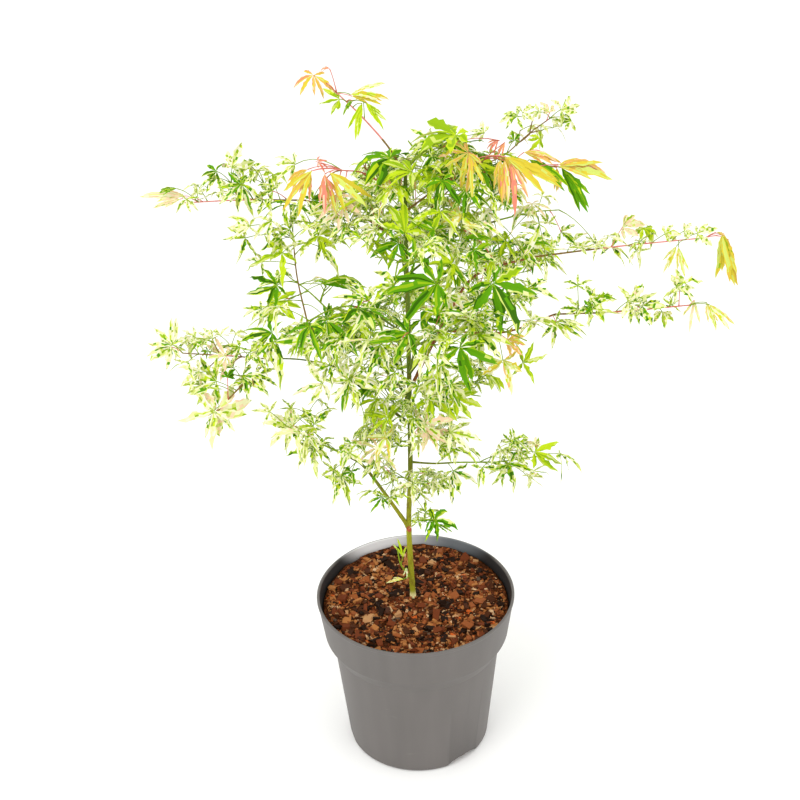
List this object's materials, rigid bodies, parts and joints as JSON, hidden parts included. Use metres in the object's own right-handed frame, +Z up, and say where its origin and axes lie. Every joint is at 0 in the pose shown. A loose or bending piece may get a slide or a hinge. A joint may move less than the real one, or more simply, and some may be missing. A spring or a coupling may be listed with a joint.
{
  "type": "potted japanese maple",
  "caption": "Young variegated palmate-leaved maple with a slender trunk and an open spreading crown, standing in a plain round nursery pot.",
  "frame": {"origin": "centre of the pot's flat underside", "axes": "+Z up along the pot's axis, -Y towards the front of the plant, +X to the plant's right as seen from the front"},
  "size_m": [0.5205, 0.403, 0.6725],
  "materials": {
    "pot_plastic": "matte warm grey moulded plastic",
    "growing_medium": "loose moist bark and coir chips",
    "bark": "smooth green-brown young bark with pale spots",
    "young_bark": "smooth reddish green twig bark",
    "leaf": "thin satin leaf, green speckled with cream, pink and apricot at the tips"
  },
  "bodies": {
    "root": {"back_bough": "young_bark", "back_foliage": "leaf", "back_left_bough": "young_bark", "back_left_foliage": "leaf", "back_right_bough": "young_bark", "back_right_foliage": "leaf", "core_left_foliage": "leaf", "core_right_foliage": "leaf", "crown_left_foliage": "leaf", "crown_right_foliage": "leaf", "foot_foliage": "leaf", "fork_foliage": "leaf", "front_bough": "young_bark", "front_foliage": "leaf", "front_left_bough": "young_bark", "front_left_foliage": "leaf", "growing_medium": "growing_medium", "left_crown_foliage": "leaf", "left_drop_foliage": "leaf", "left_mid_bough": "bark", "left_outer_bough": "young_bark", "left_tip_foliage": "leaf", "left_upright_foliage": "leaf", "low_front_foliage": "leaf", "low_left_bough": "bark", "low_left_foliage": "leaf", "low_right_bough": "young_bark", "low_right_foliage": "leaf", "low_side_foliage": "leaf", "mid_left_foliage": "leaf", "pot": "pot_plastic", "right_crown_bough": "young_bark", "right_crown_foliage": "leaf", "right_front_bough": "young_bark", "right_front_foliage": "leaf", "right_long_foliage": "leaf", "right_lower_bough": "young_bark", "right_lower_foliage": "leaf", "right_main_bough": "bark", "second_right_bough": "bark", "second_right_foliage": "leaf", "top_foliage": "leaf", "top_left_foliage": "leaf", "trunk": "bark", "upper_back_bough": "young_bark", "upper_back_foliage": "leaf", "upper_front_bough": "young_bark", "upper_front_foliage": "leaf", "upper_left_bough": "young_bark", "upper_left_foliage": "leaf", "upper_right_bough": "young_bark", "upper_right_foliage": "leaf", "waist_left_foliage": "leaf", "waist_right_foliage": "leaf"}
  },
  "joints": []
}
